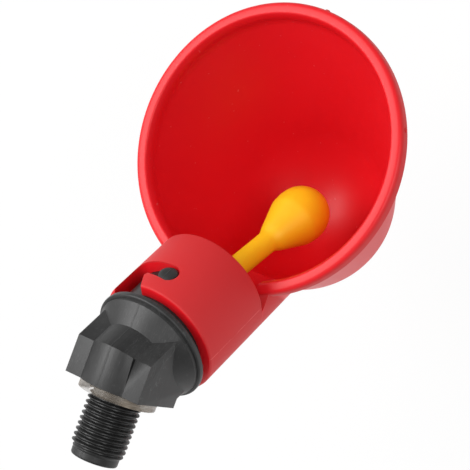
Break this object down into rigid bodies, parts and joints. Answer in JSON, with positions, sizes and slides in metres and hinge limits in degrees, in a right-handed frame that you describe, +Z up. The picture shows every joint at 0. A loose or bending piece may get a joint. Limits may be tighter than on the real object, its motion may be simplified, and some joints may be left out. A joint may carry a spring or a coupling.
{
  "type": "poultry drinking cup",
  "caption": "Deep plastic drinking cup for poultry, twisted onto a 45 degree threaded valve elbow, with a long peg trigger that lets water in when it is pecked.",
  "frame": {"origin": "centre of the sealing washer's outer face, on the inlet thread's axis, where the pipe's wall comes", "axes": "-X along the inlet thread, out of the elbow and into the pipe; +Z up, with the cup's rim level; +X towards the cup"},
  "size_m": [0.0898, 0.055, 0.064],
  "materials": {
    "cup_plastic": "soft gloss inside and on the rim, finely matt outside",
    "body_plastic": "satin, as moulded, with light scuffs",
    "washer_rubber": "pale translucent, slightly waxy",
    "seat_rubber": "matt",
    "bush_plastic": "satin, as moulded",
    "pin_steel": "bright drawn stainless wire",
    "peg_plastic": "soft gloss, as moulded"
  },
  "bodies": {
    "valve": {"valve_body": "body_plastic", "sealing_washer": "washer_rubber", "valve_seat": "seat_rubber", "seat_bush": "bush_plastic", "return_spring": "pin_steel"},
    "bowl": {"cup": "cup_plastic"},
    "trigger": {"valve_pin": "pin_steel", "trigger_peg": "peg_plastic"}
  },
  "joints": [
    {"name": "cup_twist", "type": "hinge", "parent": "valve", "child": "bowl", "pos_m": [0.0059, 0, 0], "axis": [0.7071, 0, -0.7071], "range_deg": [0, 38]},
    {"name": "peg_swing", "type": "hinge", "parent": "valve", "child": "trigger", "pos_m": [0.0117, 0, -0.0058], "axis": [0, -1, 0], "range_deg": [-8, 8], "stiffness_Nm_per_rad": 0.05}
  ]
}
